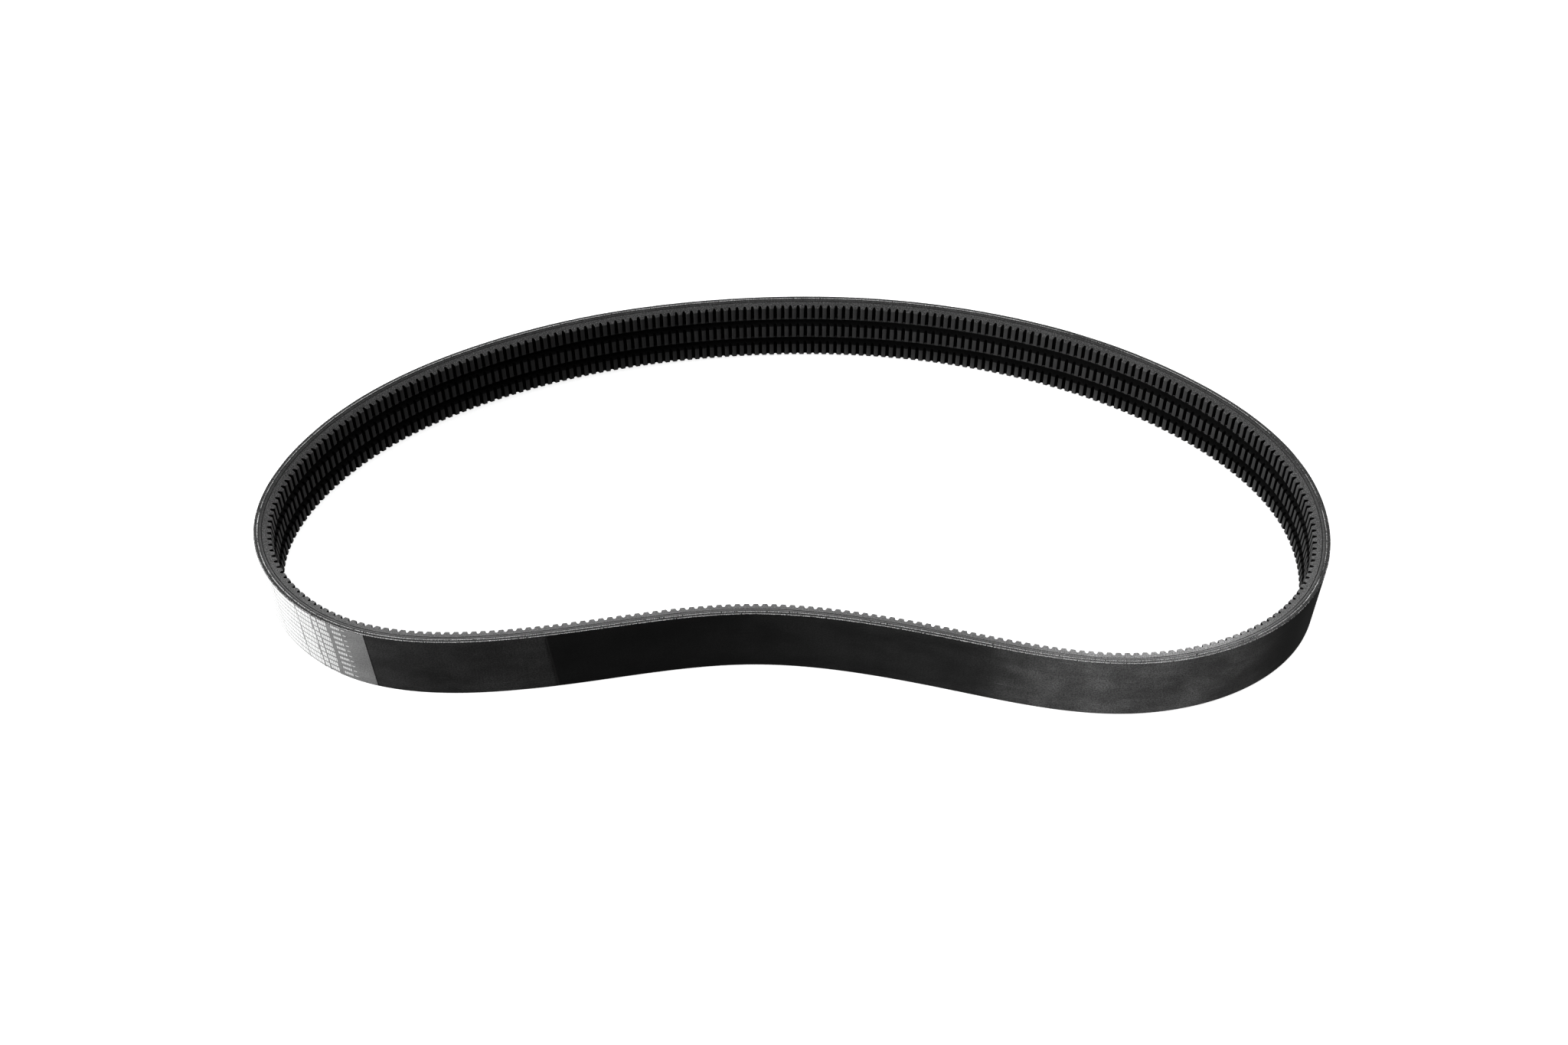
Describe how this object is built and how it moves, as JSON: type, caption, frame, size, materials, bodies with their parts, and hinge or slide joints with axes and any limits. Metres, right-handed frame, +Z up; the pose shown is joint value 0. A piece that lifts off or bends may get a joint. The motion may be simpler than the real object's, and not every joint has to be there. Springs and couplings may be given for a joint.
{
  "type": "joined cogged V-belt",
  "caption": "Endless joined V-belt: parallel V-section strands with moulded cogs inside, joined by a fabric-covered tie band, standing on one edge in a relaxed bean-shaped loop.",
  "frame": {"origin": "centre of the loop's box in plan, at the height of the edge that the belt stands on", "axes": "+Z up, across the belt from the lower to the upper strand; +X along the loop's length; the side that is pushed inwards faces -Y"},
  "size_m": [0.7767, 0.3877, 0.0549],
  "materials": {
    "cover_fabric": "rubber-filled woven cover, satin, lightly scuffed",
    "label_film": "thin printed transfer film, satin",
    "band_gum": "cut rubber edge, matt",
    "band_ply": "rubberised fabric, cut yarn ends at the edge",
    "overcord_rubber": "cut rubber edge, matt",
    "tensile_cord": "treated polyester cord in rubber",
    "adhesion_gum": "cut rubber edge, matt",
    "base_rubber": "fibre-filled rubber with moulded cogs, matt and grainy"
  },
  "bodies": {
    "root": {"cover_fabric": "cover_fabric", "printed_label": "label_film", "tie_band_gum": "band_gum", "tie_band_inner_ply": "band_ply", "lower_strand_overcord": "overcord_rubber", "lower_strand_tensile_cord": "tensile_cord", "lower_strand_adhesion_gum": "adhesion_gum", "lower_strand_cogged_base": "base_rubber", "middle_strand_overcord": "overcord_rubber", "middle_strand_tensile_cord": "tensile_cord", "middle_strand_adhesion_gum": "adhesion_gum", "middle_strand_cogged_base": "base_rubber", "upper_strand_overcord": "overcord_rubber", "upper_strand_tensile_cord": "tensile_cord", "upper_strand_adhesion_gum": "adhesion_gum", "upper_strand_cogged_base": "base_rubber"}
  },
  "joints": []
}
